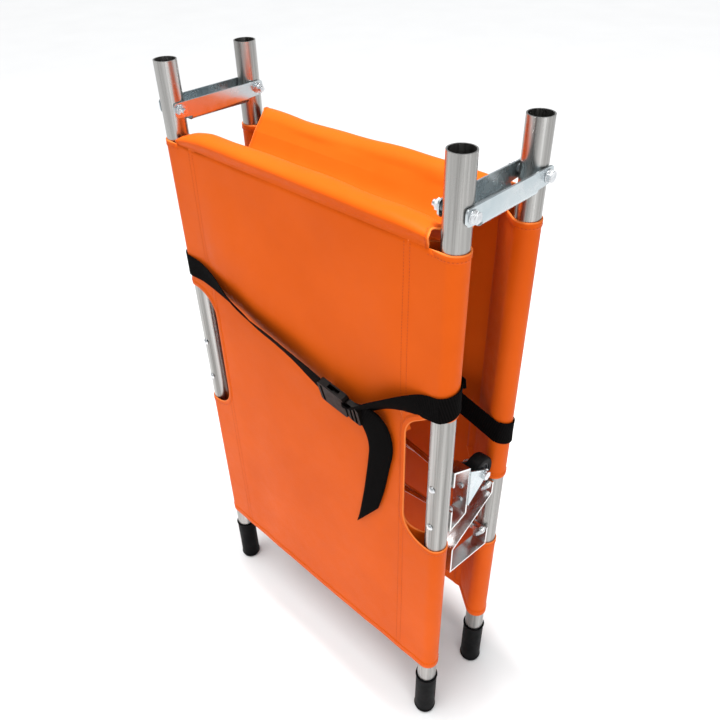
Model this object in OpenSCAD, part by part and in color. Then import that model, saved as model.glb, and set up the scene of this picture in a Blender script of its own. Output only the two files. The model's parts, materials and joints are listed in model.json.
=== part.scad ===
// Two-fold stretcher, standing folded on its four hand grips.
// X is the width, Y runs from the front half to the back half, Z is up.
// The origin is the middle of the footprint, on the ground.

/* [Poles] */
// Outer diameter of the pole tubes
tube_d = 32; // [30:0.5:33]
// Wall thickness of the pole tubes
tube_wall = 1.8; // [1.5:0.1:2.4]
// Height of the folded stretcher, from grip to tube end
half_length = 1040; // [1020:5:1080]
// Distance between the left and right pole axes
pole_spacing = 500; // [480:5:520]
// Distance between the front and back pole axes when folded
fold_spacing = 136; // [136:1:144]
// Distance from a fold pivot to the tube end
pivot_to_end = 64.5; // [62:0.5:65]

/* [Hand grips] */
// Length of a rubber grip
grip_length = 106; // [90:1:115]
// Wall thickness of a rubber grip
grip_wall = 2; // [1.8:0.1:3]

/* [Sheet] */
// Thickness of the coated cloth
cloth_t = 1.2; // [0.8:0.1:1.4]
// Bottom hem of both halves
hem_z = 150; // [145:1:155]
// Top of the front sleeves
front_top_z = 933; // [925:1:935]
// Top of the back sleeves
back_top_z = 920; // [912:1:925]
// Distance of the sleeve seams from the middle
seam_x = 200; // [198:1:202]
// Lowest level of the front side cut-outs
front_cut_low = 456; // [450:1:460]
// Highest level of the front side cut-outs
front_cut_high = 695; // [692:1:698]
// Lowest level of the back side cut-outs
back_cut_low = 352; // [346:1:356]
// Highest level of the back side cut-outs
back_cut_high = 503; // [500:1:508]

/* [Fold links] */
// Thickness of the link plate
link_t = 2.5; // [2:0.1:2.5]
// Height of the link above its pivots
link_rise = 10; // [9.5:0.5:12]
// Outside radius of the link's bent corners
link_bend = 7; // [5:0.5:8]

/* [Legs] */
// Width of the leg strips
strip_w = 24; // [22:1:26]
// Thickness of the leg strips
strip_t = 3; // [2.5:0.1:3]
// Diameter of the wheels
wheel_d = 50; // [46:1:50]
// Width of the wheels
wheel_w = 20; // [18:1:20]
// Diameter of the tie rods
rod_d = 8; // [7:0.5:8]

/* [Belts] */
// Width of the webbing
web_w = 38; // [34:1:40]
// Thickness of the webbing
web_t = 1.5; // [1.2:0.1:1.5]
// Height of the front belt on the left pole
front_belt_left = 733; // [725:1:745]
// Height of the front belt on the right pole
front_belt_right = 722; // [712:1:732]
// Height of the back belt on the left pole
back_belt_left = 745; // [730:1:755]
// Height of the back belt on the right pole
back_belt_right = 585; // [575:1:595]

/* [Hidden] */

$fn = 48;
// Running clearance of a bolt in its hole, and the gap between parts that only lie together
run = 0.05;
gap = 0.1;
cloth_gap = 0.3;

tube_r = tube_d / 2;
bore_r = tube_r - tube_wall;
pole_x = pole_spacing / 2;
pole_y = fold_spacing / 2;
pivot_z = half_length - pivot_to_end;

// Fold pivot hardware, M8
pin_r = 4;
bush_r = 6;
m8_af_r = 7.5;
m8_head = 5.3;
head_lap = 1;
m8_nut = 6.5;
washer_r = 7.8;
washer_t = 1.2;
link_half_gap = tube_r + 0.5;
link_out = link_half_gap + link_t;
link_web_top = tube_r;
link_end = 10;
link_web_half = pole_y - tube_r - 1.5;

// Leg bolts, M6, one above the other in each tube
m6_r = 3;
m6_head_r = 5.4;
m6_head = 3.2;
m6_nut_r = 5.8;
m6_nut = 5;
m6_washer_r = 6.3;
front_bolt_z = [506, 581];
back_bolt_z = [382, 487];
// Distance of the strip's middle plane from the pole axis where it lies on the tube
strip_y = tube_r + gap + strip_t / 2;
eye_y = strip_y + strip_t / 2 + gap;
eye_t = 3;
eye_r = 7.5;
// Leg outlines: distance inwards from the pole axis, and height
wheel_leg = [[strip_y, 567], [strip_y, 594], [52, 577], [52, 487], [strip_y, 478], [strip_y, 518]];
foot_leg = [[strip_y, 500], [strip_y, 476], [108.5, 425], [108.5, 374], [strip_y, 358], [strip_y, 396]];
wheel_in = 88;
wheel_z = 541;
fork_t = 2.5;
fork_half = wheel_w / 2 + 1.5;
fork_base = 52 + strip_t / 2 + gap;
axle_boss_r = 9;
hub_r = 16;

// Sheet
sleeve_in = tube_r + cloth_gap;
sleeve_out = sleeve_in + cloth_t;
sheet_y = pole_y + sleeve_out;
seam_len = pole_x - seam_x;
seam_a = 2 * atan(sleeve_out / seam_len);
cut_in = seam_x + 4;
cut_r = 40;
// The fold of the sheet: across from front to back, and height
fold_line = [
    [-sheet_y + cloth_t / 2, front_top_z + 1.2], [-80, 945], [-69, 953], [-58, 953], [-40, 935],
    [-20, 911], [0, 898], [20, 909], [40, 936], [53, 952], [66, 949], [79, 938],
    [sheet_y - cloth_t / 2, back_top_z + 1.2]
];

// Belts: height on the left and right pole, and the buckle's middle
front_belt_at = [front_belt_left, front_belt_right, 86, 657];
back_belt_at = [back_belt_left, back_belt_right, 20, 640];
belt_in = sleeve_out + 0.5;
belt_y = pole_y + belt_in;
buckle_len = 52;
buckle_h = 46;
buckle_t = 11;
buckle_lean = 18;
buckle_turn = 8;
tongue_len = 24;
buckle_y = belt_y + 12.5;

// ---- helpers ----

function unit(v) = v / norm(v);
// How far a point moves sideways in a mitred strip, for each mm of offset
function mitre(a, b) = [-a[1] - b[1], a[0] + b[0]] / (1 + a * b);
function sideways(points, i) = let (last = len(points) - 1, k = max(i, 1), n = min(i, last - 1))
    mitre(unit(points[k] - points[k - 1]), unit(points[n + 1] - points[n]));
// Strip of thickness t along a list of points, with mitred bends
module strip(points, t) {
    last = len(points) - 1;
    polygon(concat(
        [for (i = [0 : last]) points[i] + sideways(points, i) * t / 2],
        [for (i = [last : -1 : 0]) points[i] - sideways(points, i) * t / 2]
    ));
}

// A profile drawn as [Y, Z] and given its width along X, centred on x
module along_x(x, width) {
    translate([x - width / 2, 0, 0]) rotate([90, 0, 90]) linear_extrude(width) children();
}

// Cylinder along X from x0 to x1 at [y, z]
module rod_x(x0, x1, y, z, r, sides = 48) {
    translate([x0, y, z]) rotate([0, 90, 0]) cylinder(h = x1 - x0, r = r, $fn = sides);
}

// Cylinder along Y from y0 to y1 at [x, z]
module rod_y(y0, y1, x, z, r, sides = 48) {
    translate([x, y0, z]) rotate([-90, 0, 0]) cylinder(h = y1 - y0, r = r, $fn = sides);
}

// Right side first, then its mirror image on the left
module both_sides() {
    for (side = [0, 1]) mirror([side, 0, 0]) children();
}

// The back half is drawn facing front and mirrored
module at_back() {
    mirror([0, 1, 0]) children();
}

// ---- parts that both halves share ----

// Right pole of the front half, with its pivot hole and the leg bolt holes
module pole(bolt_z) {
    difference() {
        translate([pole_x, -pole_y, 3]) cylinder(h = half_length - 3, r = tube_r, $fn = 64);
        translate([pole_x, -pole_y, 0]) cylinder(h = half_length + 1, r = bore_r, $fn = 64);
        rod_x(pole_x - tube_r - 1, pole_x + tube_r + 1, -pole_y, pivot_z, bush_r + run);
        for (z = bolt_z) rod_y(-pole_y - tube_r - 1, -pole_y + tube_r + 1, pole_x, z, m6_r + run);
    }
}

// Rubber grip: plain barrel with a flared rim and a rounded, closed lower end
module grip() {
    r = tube_r + run;
    out = tube_r + grip_wall;
    translate([pole_x, -pole_y, 0]) difference() {
        rotate_extrude($fn = 64) {
            square([out - 4, 8]);
            translate([0, 4]) square([out, grip_length - 4]);
            translate([out - 4, 4]) circle(r = 4);
            for (z = [7, grip_length - 2.4]) translate([out - 1.4, z]) circle(r = 2.4, $fn = 24);
        }
        translate([0, 0, 3 - run]) cylinder(h = grip_length, r = r, $fn = 64);
    }
}

// Pivot bolt with its head outside
module pivot_bolt() {
    x1 = pole_x + link_out + gap + washer_t;
    rod_x(pole_x - link_out - 12, x1 + head_lap, -pole_y, pivot_z, pin_r);
    rod_x(x1, x1 + m8_head - 0.8, -pole_y, pivot_z, m8_af_r, 6);
    rod_x(x1, x1 + m8_head, -pole_y, pivot_z, 6.2);
}

module pivot_nut() {
    x1 = pole_x - link_out - gap - washer_t;
    difference() {
        union() {
            rod_x(x1 - m8_nut + 1.5, x1, -pole_y, pivot_z, m8_af_r, 6);
            rod_x(x1 - m8_nut, x1, -pole_y, pivot_z, 5.9);
        }
        rod_x(x1 - m8_nut - 1, x1 + 1, -pole_y, pivot_z, pin_r + run);
    }
}

module pivot_washers() {
    for (x = [pole_x + link_out + gap, pole_x - link_out - gap - washer_t]) {
        difference() {
            rod_x(x, x + washer_t, -pole_y, pivot_z, washer_r);
            rod_x(x - 1, x + washer_t + 1, -pole_y, pivot_z, pin_r + run);
        }
    }
}

// Steel crush bush that carries the tube on the pivot bolt
module pivot_bush() {
    half = link_half_gap - gap;
    difference() {
        rod_x(pole_x - half, pole_x + half, -pole_y, pivot_z, bush_r);
        rod_x(pole_x - half - 1, pole_x + half + 1, -pole_y, pivot_z, pin_r + run);
    }
}

// Leg strip folded from flat bar, with its two bolt holes
module leg_strip(outline, bolt_z) {
    points = [for (p = outline) [p[0] - pole_y, p[1]]];
    difference() {
        along_x(pole_x, strip_w) strip(points, strip_t);
        for (z = bolt_z) rod_y(-pole_y, -pole_y + eye_y + 1, pole_x, z, m6_r + run);
    }
}

module leg_bolts(bolt_z) {
    y0 = -pole_y - tube_r - gap;
    for (z = bolt_z) {
        rod_y(y0 - head_lap, -pole_y + eye_y + eye_t + 10, pole_x, z, m6_r);
        intersection() {
            rod_y(y0 - m6_head, y0, pole_x, z, m6_head_r);
            translate([pole_x, y0 + 3.6, z]) sphere(r = 6.9);
        }
    }
}

module leg_washers(bolt_z) {
    y0 = -pole_y + eye_y + eye_t + gap;
    for (z = bolt_z) {
        difference() {
            rod_y(y0, y0 + washer_t, pole_x, z, m6_washer_r);
            rod_y(y0 - 1, y0 + washer_t + 1, pole_x, z, m6_r + run);
        }
    }
}

module leg_nuts(bolt_z) {
    y0 = -pole_y + eye_y + eye_t + washer_t + 2 * gap;
    for (z = bolt_z) {
        difference() {
            union() {
                rod_y(y0, y0 + m6_nut, pole_x, z, m6_nut_r, 6);
                rod_y(y0, y0 + m6_nut + 1.2, pole_x, z, 4.6);
            }
            rod_y(y0 - 1, y0 + m6_nut + 3, pole_x, z, m6_r + run);
        }
    }
}

// Tie rod between the two poles at height z. Its middle is set off by bow = [inwards, up]
module tie_rod(z, bow) {
    y = -pole_y + eye_y + eye_t / 2;
    lug_x = pole_x - strip_w / 2 - 2;
    lug_h = 9;
    sides = 12;
    lap = 0.6;
    ends = [lug_x, 0, 0];
    middle = [150, bow[0], bow[1]];
    d = ends - middle;
    translate([0, y, z]) difference() {
        union() {
            both_sides() {
                rod_y(-eye_t / 2, eye_t / 2, pole_x, 0, eye_r);
                translate([lug_x - 4, -eye_t / 2, -lug_h / 2])
                    cube([pole_x - lug_x + 4, eye_t, lug_h]);
                translate(middle) rotate([0, acos(d[2] / norm(d)), atan2(d[1], d[0])])
                    translate([0, 0, -lap]) cylinder(h = norm(d) + lap, d = rod_d, $fn = sides);
            }
            rod_x(-middle[0] - lap, middle[0] + lap, middle[1], middle[2], rod_d / 2, sides);
        }
        both_sides() rod_y(-eye_t, eye_t, pole_x, 0, m6_r + run);
    }
}

// ---- sheet ----

// Sleeve outline round the right pole: a circle drawn out to the seam
module teardrop(r, reach) {
    a = 2 * atan(r / reach);
    circle(r = r, $fn = 64);
    polygon([[-reach, -r], [0, -r], [0, 0], [-reach + reach * cos(a), -r + reach * sin(a)]]);
}

module sleeve_outline() {
    inner_reach = seam_len - cloth_t / tan(seam_a / 2);
    translate([pole_x, -pole_y]) difference() {
        teardrop(sleeve_out, seam_len);
        teardrop(sleeve_in, inner_reach);
    }
}

// Half of a D-shaped side cut-out: a rounded inner edge, open to the outside
module side_cut(z) {
    far = pole_x + 40;
    low = z[0];
    high = z[1];
    r = min(cut_r, (high - low) / 3);
    rotate([90, 0, 0]) linear_extrude(300, center = true) {
        translate([cut_in, low + r]) square([far - cut_in, high - low - 2 * r]);
        translate([cut_in + r, low]) square([far - cut_in - r, high - low]);
        for (level = [low + r, high - r]) translate([cut_in + r, level]) circle(r = r, $fn = 64);
    }
}

module panel(top_z, cut) {
    difference() {
        translate([0, 0, hem_z]) linear_extrude(top_z - hem_z) {
            both_sides() sleeve_outline();
            translate([-cut_in, -sheet_y]) square([2 * cut_in, cloth_t]);
        }
        both_sides() side_cut(cut);
    }
}

// ---- belts and buckles ----

// Flat band from [x, z] to [x, z], lying outside y
module band(from, to, y) {
    d = to - from;
    translate([from[0], y, from[1]]) rotate([0, -atan2(d[1], d[0]), 0])
        translate([0, -web_t, -web_w / 2]) cube([norm(d), web_t, web_w]);
}

// Band round the outside of the right pole, at height z
module pole_wrap(z) {
    translate([pole_x, -pole_y, z - web_w / 2]) difference() {
        cylinder(h = web_w, r = belt_in + web_t);
        translate([0, 0, -1]) cylinder(h = web_w + 2, r = belt_in);
        translate([-50, -50, -1]) cube([50, 100, web_w + 2]);
    }
}

// Loop round both poles, open between the buckle and the right end
module belt_loop(at) {
    left = [-pole_x, at[0]];
    right = [pole_x, at[1]];
    socket_end = [at[2] - buckle_len / 2 - 4, at[3] + 4];
    mirror([1, 0, 0]) pole_wrap(at[0]);
    pole_wrap(at[1]);
    band(left, socket_end, -belt_y);
    band([seam_x + 10, at[1] - 8], right, -belt_y);
    band(left, right, -pole_y + belt_in + web_t);
}

// Webbing from the tongue to the right pole, and its hanging tail
module belt_tail(at) {
    start = [at[2] + buckle_len / 2 + tongue_len + 2, at[3] - 6];
    band(start + [13, 0], [pole_x - 20, at[1] - 6], -belt_y - web_t - 0.4);
    translate([start[0] + 3, -belt_y - 2 * web_t - 0.3, start[1] - 212])
        cube([web_w, web_t, 200]);
}

// Places a buckle part: drawn along +X from the socket's middle, face out to -Y
module at_buckle(at) {
    translate([at[2], -buckle_y, at[3]]) rotate([0, buckle_turn, 0]) rotate([buckle_lean, 0, 0])
        children();
}

// Outline with cut corners, drawn in the face plane
module buckle_face(length, height, corner) {
    l = length / 2;
    h = height / 2;
    polygon([
        [-l, -h + corner], [-l + corner, -h], [l - corner, -h], [l, -h + corner],
        [l, h - corner], [l - corner, h], [-l + corner, h], [-l, h - corner]
    ]);
}

module buckle_socket() {
    rotate([90, 0, 0]) difference() {
        linear_extrude(buckle_t, center = true) buckle_face(buckle_len, buckle_h, 3.5);
        // mouth for the prongs
        translate([-10, -16, -3]) cube([40, 32, 6]);
        // finger windows at the sides
        for (side = [-1, 1]) translate([2, side * 21, 0]) cube([20, 12, 6.2], center = true);
        // webbing slot
        translate([-21, -web_w / 2 - 0.5, -10]) cube([4.5, web_w + 1, 20]);
    }
}

module buckle_tongue() {
    mouth = buckle_len / 2;
    rotate([90, 0, 0]) difference() {
        union() {
            translate([mouth + 0.5 + tongue_len / 2, 0, 0]) linear_extrude(8, center = true)
                buckle_face(tongue_len, 44, 4);
            for (side = [-1, 1]) {
                translate([mouth - 28, side * 12.5 - 2.5, -2.4]) cube([30, 5, 4.8]);
                translate([mouth - 20, side * 14.2 - 1.4, -2.4]) cube([8, 2.8, 4.8]);
            }
            translate([mouth - 24, -2, -2.4]) cube([26, 4, 4.8]);
        }
        // two webbing slots with the adjusting bar between them
        for (x = [7, 15]) translate([mouth + x, -web_w / 2 - 0.5, -10]) cube([4, web_w + 1, 20]);
    }
}

// ---- front half ----

module front_tube_left() { color("silver") mirror([1, 0, 0]) pole(front_bolt_z); }
module front_tube_right() { color("silver") pole(front_bolt_z); }
module front_sheet() { color("darkorange") panel(front_top_z, [front_cut_low, front_cut_high]); }
module front_grip_left() { color("black") mirror([1, 0, 0]) grip(); }
module front_grip_right() { color("black") grip(); }
module front_pivot_bolts() { color("lightsteelblue") both_sides() pivot_bolt(); }
module front_pivot_nuts() { color("lightsteelblue") both_sides() pivot_nut(); }
module front_pivot_washers() { color("lightsteelblue") both_sides() pivot_washers(); }
module front_pivot_bushes() { color("lightsteelblue") both_sides() pivot_bush(); }
module front_bracket_bolts() { color("lightsteelblue") both_sides() leg_bolts(front_bolt_z); }
module front_bracket_washers() { color("lightsteelblue") both_sides() leg_washers(front_bolt_z); }
module front_bracket_nuts() { color("lightsteelblue") both_sides() leg_nuts(front_bolt_z); }
module front_upper_tie_rod() { color("silver") tie_rod(front_bolt_z[1], [13, 0]); }
module front_lower_tie_rod() { color("silver") tie_rod(front_bolt_z[0], [0, -10]); }
module wheel_bracket_left() { color("silver") mirror([1, 0, 0]) wheel_strip(); }
module wheel_bracket_right() { color("silver") wheel_strip(); }
module wheel_fork_left() { color("lightsteelblue") mirror([1, 0, 0]) fork(); }
module wheel_fork_right() { color("lightsteelblue") fork(); }
module front_belt() { color([0.1, 0.1, 0.1]) belt_loop(front_belt_at); }
module front_belt_tail() { color([0.1, 0.1, 0.1]) belt_tail(front_belt_at); }
module front_buckle_socket() { color([0.15, 0.1, 0.1]) at_buckle(front_belt_at) buckle_socket(); }
module front_buckle_tongue() { color([0.15, 0.1, 0.1]) at_buckle(front_belt_at) buckle_tongue(); }

rivet_z = [wheel_z - 31, wheel_z - 3];
rivet_r = 2.5;

module wheel_strip() {
    difference() {
        leg_strip(wheel_leg, front_bolt_z);
        for (z = rivet_z) rod_y(-pole_y + 45, -pole_y + 60, pole_x, z, rivet_r + run);
    }
}

// Fork: a base plate on the leg strip and two ears out to the axle
module fork() {
    base_y = fork_base - pole_y;
    axle_y = wheel_in - pole_y;
    half_z = 27;
    difference() {
        union() {
            translate([pole_x - fork_half - fork_t, base_y, 503])
                cube([2 * (fork_half + fork_t), fork_t, 570 - 503]);
            for (side = [-1, 1]) {
                along_x(pole_x + side * (fork_half + fork_t / 2), fork_t) {
                    polygon([
                        [base_y, 503], [base_y, 572], [axle_y, wheel_z + axle_boss_r],
                        [axle_y + axle_boss_r * 0.8, wheel_z - axle_boss_r * 0.6]
                    ]);
                    translate([axle_y, wheel_z]) circle(r = axle_boss_r);
                }
            }
        }
        rod_x(pole_x - 30, pole_x + 30, axle_y, wheel_z, pin_r + run);
        for (z = rivet_z) rod_y(base_y - 1, base_y + fork_t + 1, pole_x, z, rivet_r + run);
    }
}

module wheel_fork_rivets() {
    color("silver") both_sides() for (z = rivet_z) {
        y0 = -pole_y + 52 - strip_t / 2 - gap;
        y1 = fork_base - pole_y + fork_t + gap;
        rod_y(y0 - head_lap / 2, y1 + head_lap / 2, pole_x, z, rivet_r);
        rod_y(y0 - 1.6, y0, pole_x, z, rivet_r * 1.8);
        rod_y(y1, y1 + 1, pole_x, z, rivet_r * 1.6);
    }
}

module wheel_axle_bolts() {
    x1 = pole_x + fork_half + fork_t + gap;
    y = wheel_in - pole_y;
    color("lightsteelblue") both_sides() {
        rod_x(pole_x - fork_half - fork_t - 9, x1 + head_lap, y, wheel_z, pin_r);
        rod_x(x1, x1 + m8_head, y, wheel_z, m8_af_r, 6);
    }
}

module wheel_axle_nuts() {
    x1 = pole_x - fork_half - fork_t - gap;
    y = wheel_in - pole_y;
    color("lightsteelblue") both_sides() difference() {
        rod_x(x1 - m8_nut, x1, y, wheel_z, m8_af_r, 6);
        rod_x(x1 - m8_nut - 1, x1 + 1, y, wheel_z, pin_r + run);
    }
}

// Places a wheel part turned about Z, so that its axis runs along X
module at_wheel() {
    translate([pole_x, wheel_in - pole_y, wheel_z]) rotate([0, 90, 0]) children();
}

module hub() {
    half = wheel_w / 2;
    at_wheel() rotate_extrude($fn = 64) {
        polygon([
            [pin_r + run, -half - 0.7], [8, -half - 0.7], [8, -half + 3], [hub_r - 3, -half + 3],
            [hub_r - 3, -half + 1], [hub_r, -half + 1], [hub_r, half - 1], [hub_r - 3, half - 1],
            [hub_r - 3, half - 3], [8, half - 3], [8, half + 0.7], [pin_r + run, half + 0.7]
        ]);
    }
}

module tyre() {
    half = wheel_w / 2;
    corner = 4;
    at_wheel() rotate_extrude($fn = 64) {
        translate([hub_r + run, -half]) square([wheel_d / 2 - hub_r - corner, wheel_w]);
        translate([hub_r + run, -half + corner])
            square([wheel_d / 2 - hub_r - run, wheel_w - 2 * corner]);
        for (z = [-half + corner, half - corner]) {
            translate([wheel_d / 2 - corner, z]) circle(r = corner);
        }
    }
}

module wheel_hub_left() { color([0.2, 0.2, 0.2]) mirror([1, 0, 0]) hub(); }
module wheel_hub_right() { color([0.2, 0.2, 0.2]) hub(); }
module wheel_tyre_left() { color("black") mirror([1, 0, 0]) tyre(); }
module wheel_tyre_right() { color("black") tyre(); }

// ---- fold links ----

// Points of an arc
function arc(centre, r, from, to) =
    [for (i = [0 : 6]) let (a = from + (to - from) * i / 6) centre + r * [cos(a), sin(a)]];

// U-channel bent from plate; its sides run on past the web to the pivots
module fold_link() {
    low = -link_web_top - link_t;
    edge = low + link_bend;
    end = pole_y + link_end;
    out = link_out - link_bend;
    module side_plate() {
        polygon(concat(
            arc([end - 5, link_rise - 5], 5, 0, 90), arc([5 - end, link_rise - 5], 5, 90, 180),
            arc([6 - end, 6 - link_rise], 6, 180, 270), [[-link_web_half, edge], [link_web_half, edge]],
            arc([end - 6, 6 - link_rise], 6, 270, 360)
        ));
    }
    module channel() {
        polygon(concat(
            [[link_out, edge + 1]], arc([out, edge], link_bend, 0, -90),
            arc([-out, edge], link_bend, -90, -180), [[-link_out, edge + 1], [-link_half_gap, edge + 1]],
            arc([-out, edge], link_bend - link_t, 180, 270),
            arc([out, edge], link_bend - link_t, 270, 360), [[link_half_gap, edge + 1]]
        ));
    }
    translate([0, 0, pivot_z]) difference() {
        union() {
            for (x = [-link_half_gap - link_t / 2, link_half_gap + link_t / 2]) {
                along_x(pole_x + x, link_t) side_plate();
            }
            translate([pole_x, link_web_half, 0]) rotate([90, 0, 0])
                linear_extrude(2 * link_web_half) channel();
        }
        for (y = [-pole_y, pole_y]) rod_x(pole_x - 30, pole_x + 30, y, 0, pin_r + run);
    }
}

module fold_link_left() { color("lightsteelblue") mirror([1, 0, 0]) fold_link(); }
module fold_link_right() { color("lightsteelblue") fold_link(); }
module fold_sheet() {
    color("darkorange") along_x(0, 2 * seam_x - 2) strip(fold_line, cloth_t);
}

// ---- back half ----

module back_tube_left() { color("silver") mirror([1, 0, 0]) at_back() pole(back_bolt_z); }
module back_tube_right() { color("silver") at_back() pole(back_bolt_z); }
module back_sheet() { color("darkorange") at_back() panel(back_top_z, [back_cut_low, back_cut_high]); }
module back_grip_left() { color("black") mirror([1, 0, 0]) at_back() grip(); }
module back_grip_right() { color("black") at_back() grip(); }
module back_pivot_bolts() { color("lightsteelblue") at_back() both_sides() pivot_bolt(); }
module back_pivot_nuts() { color("lightsteelblue") at_back() both_sides() pivot_nut(); }
module back_pivot_washers() { color("lightsteelblue") at_back() both_sides() pivot_washers(); }
module back_pivot_bushes() { color("lightsteelblue") at_back() both_sides() pivot_bush(); }
module foot_bracket_left() {
    color("silver") mirror([1, 0, 0]) at_back() leg_strip(foot_leg, back_bolt_z);
}
module foot_bracket_right() { color("silver") at_back() leg_strip(foot_leg, back_bolt_z); }
module back_bracket_bolts() { color("lightsteelblue") at_back() both_sides() leg_bolts(back_bolt_z); }
module back_bracket_washers() {
    color("lightsteelblue") at_back() both_sides() leg_washers(back_bolt_z);
}
module back_bracket_nuts() { color("lightsteelblue") at_back() both_sides() leg_nuts(back_bolt_z); }
module back_upper_tie_rod() { color("silver") at_back() tie_rod(back_bolt_z[1], [13, 0]); }
module back_lower_tie_rod() { color("silver") at_back() tie_rod(back_bolt_z[0], [0, -10]); }
module back_belt() { color([0.1, 0.1, 0.1]) at_back() belt_loop(back_belt_at); }
module back_belt_tail() { color([0.1, 0.1, 0.1]) at_back() belt_tail(back_belt_at); }
module back_buckle_socket() {
    color([0.15, 0.1, 0.1]) at_back() at_buckle(back_belt_at) buckle_socket();
}
module back_buckle_tongue() {
    color([0.15, 0.1, 0.1]) at_back() at_buckle(back_belt_at) buckle_tongue();
}

// ---- nodes ----

front_tube_left();
front_tube_right();
front_sheet();
front_grip_left();
front_grip_right();
front_pivot_bolts();
front_pivot_nuts();
front_pivot_washers();
front_pivot_bushes();
wheel_bracket_left();
wheel_bracket_right();
wheel_fork_left();
wheel_fork_right();
wheel_fork_rivets();
wheel_axle_bolts();
wheel_axle_nuts();
wheel_hub_left();
wheel_tyre_left();
wheel_hub_right();
wheel_tyre_right();
front_bracket_bolts();
front_bracket_washers();
front_bracket_nuts();
front_upper_tie_rod();
front_lower_tie_rod();
front_belt();
front_belt_tail();
front_buckle_socket();
front_buckle_tongue();
fold_link_left();
fold_link_right();
fold_sheet();
back_tube_left();
back_tube_right();
back_sheet();
back_grip_left();
back_grip_right();
back_pivot_bolts();
back_pivot_nuts();
back_pivot_washers();
back_pivot_bushes();
foot_bracket_left();
foot_bracket_right();
back_bracket_bolts();
back_bracket_washers();
back_bracket_nuts();
back_upper_tie_rod();
back_lower_tie_rod();
back_belt();
back_belt_tail();
back_buckle_socket();
back_buckle_tongue();
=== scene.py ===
"""Looks of the folding stretcher: cloth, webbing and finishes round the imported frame."""

import json
import math

import bpy
import numpy as np
from mathutils import Matrix, Vector, geometry


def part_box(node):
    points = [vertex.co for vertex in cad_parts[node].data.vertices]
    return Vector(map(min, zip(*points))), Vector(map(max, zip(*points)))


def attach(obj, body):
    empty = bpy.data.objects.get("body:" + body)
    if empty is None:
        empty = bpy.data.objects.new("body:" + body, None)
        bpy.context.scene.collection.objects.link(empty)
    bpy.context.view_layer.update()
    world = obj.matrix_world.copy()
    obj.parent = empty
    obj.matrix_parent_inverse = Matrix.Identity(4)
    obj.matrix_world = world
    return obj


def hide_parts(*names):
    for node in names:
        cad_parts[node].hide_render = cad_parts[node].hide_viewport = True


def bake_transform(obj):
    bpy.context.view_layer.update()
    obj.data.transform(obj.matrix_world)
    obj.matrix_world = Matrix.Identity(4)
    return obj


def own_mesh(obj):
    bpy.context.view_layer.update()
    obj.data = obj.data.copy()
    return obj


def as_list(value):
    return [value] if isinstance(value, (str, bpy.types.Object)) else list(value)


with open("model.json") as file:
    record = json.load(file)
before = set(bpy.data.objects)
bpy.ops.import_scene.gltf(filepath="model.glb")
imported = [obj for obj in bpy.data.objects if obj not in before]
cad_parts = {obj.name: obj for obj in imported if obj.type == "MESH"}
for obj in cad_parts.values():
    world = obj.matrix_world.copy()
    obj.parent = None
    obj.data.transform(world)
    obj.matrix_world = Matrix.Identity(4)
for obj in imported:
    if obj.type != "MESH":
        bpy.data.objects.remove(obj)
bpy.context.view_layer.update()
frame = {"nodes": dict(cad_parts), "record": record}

scene = bpy.context.scene
nodes = frame["nodes"]
MM = 0.001  # the shapes below are worked out in millimetres

# ---------------------------------------------------------------- camera

CAMERA_AT = (0.64086, -0.60455, 1.28878)
AZIMUTH, PITCH, ROLL = (math.radians(a) for a in (44.91, 37.16, -1.456))
LENS_MM, SENSOR_MM = 35.52, 36


def make_camera():
    level = math.cos(PITCH)
    back = Vector((math.sin(AZIMUTH) * level, -math.cos(AZIMUTH) * level, math.sin(PITCH)))
    right = (-back).cross(Vector((0, 0, 1))).normalized()
    up = right.cross(-back)
    turned_right = right * math.cos(ROLL) + up * math.sin(ROLL)
    turned_up = up * math.cos(ROLL) - right * math.sin(ROLL)
    data = bpy.data.cameras.new("camera")
    data.lens, data.sensor_width = LENS_MM, SENSOR_MM
    data.clip_start, data.clip_end = 0.05, 50
    cam = bpy.data.objects.new("camera", data)
    scene.collection.objects.link(cam)
    axes = Matrix((turned_right, turned_up, back)).transposed()
    cam.matrix_world = Matrix.Translation(CAMERA_AT) @ axes.to_4x4()
    scene.camera = cam


make_camera()

# ---------------------------------------------------------------- materials


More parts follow.
